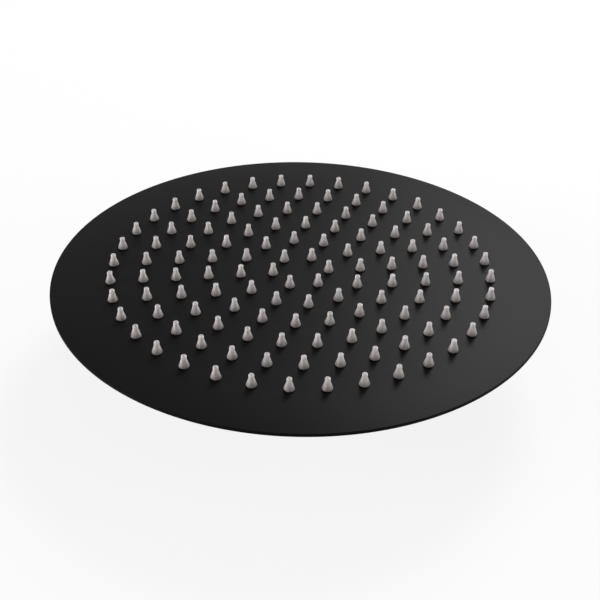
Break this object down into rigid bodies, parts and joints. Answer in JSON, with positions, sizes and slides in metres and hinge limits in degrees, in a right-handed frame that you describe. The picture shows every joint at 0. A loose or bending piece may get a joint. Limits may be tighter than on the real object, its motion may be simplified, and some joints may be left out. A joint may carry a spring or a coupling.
{
  "type": "shower head",
  "caption": "Round flat rain shower head with rings of soft nozzles on its face, a pressed back and a swivelling threaded inlet.",
  "frame": {"origin": "middle of the inlet's mouth, which is the lowest plane of the part", "axes": "+Z along the inlet's axis, out of the nozzle face; +X along the row of nozzles that all rings share"},
  "size_m": [0.3, 0.3, 0.0642],
  "materials": {
    "black_coat": "matt",
    "black_fitting": "satin",
    "bare_steel": "satin",
    "nozzle_silicone": "matt",
    "black_rubber": "matt",
    "white_acetal": "satin",
    "nickel_plate": "satin",
    "green_plastic": "satin"
  },
  "bodies": {
    "inlet": {"inlet_socket": "black_fitting", "swivel_ball": "nickel_plate", "stem_seal": "black_rubber", "inlet_washer": "black_rubber", "filter_screen": "bare_steel", "flow_regulator": "green_plastic", "regulator_ring": "black_rubber"},
    "slip": {"slip_ring": "white_acetal"},
    "seal": {"ball_seal": "black_rubber"},
    "head": {"face_plate": "black_coat", "back_plate": "black_coat", "spacer_studs": "bare_steel", "nozzle_ring_1": "nozzle_silicone", "nozzle_ring_2": "nozzle_silicone", "nozzle_ring_3": "nozzle_silicone", "nozzle_ring_4": "nozzle_silicone", "nozzle_ring_5": "nozzle_silicone", "nozzle_ring_6": "nozzle_silicone", "inlet_boss": "black_fitting", "collar_nut": "black_fitting"}
  },
  "joints": [
    {"name": "tilt_x", "type": "hinge", "parent": "inlet", "child": "slip", "pos_m": [0, 0, 0.03575], "axis": [1, 0, 0], "range_deg": [-15, 15]},
    {"name": "tilt_y", "type": "hinge", "parent": "slip", "child": "seal", "pos_m": [0, 0, 0.03575], "axis": [0, 1, 0], "range_deg": [-15, 15]},
    {"name": "spin", "type": "hinge", "parent": "seal", "child": "head", "pos_m": [0, 0, 0.03575], "axis": [0, 0, 1], "continuous": true}
  ]
}
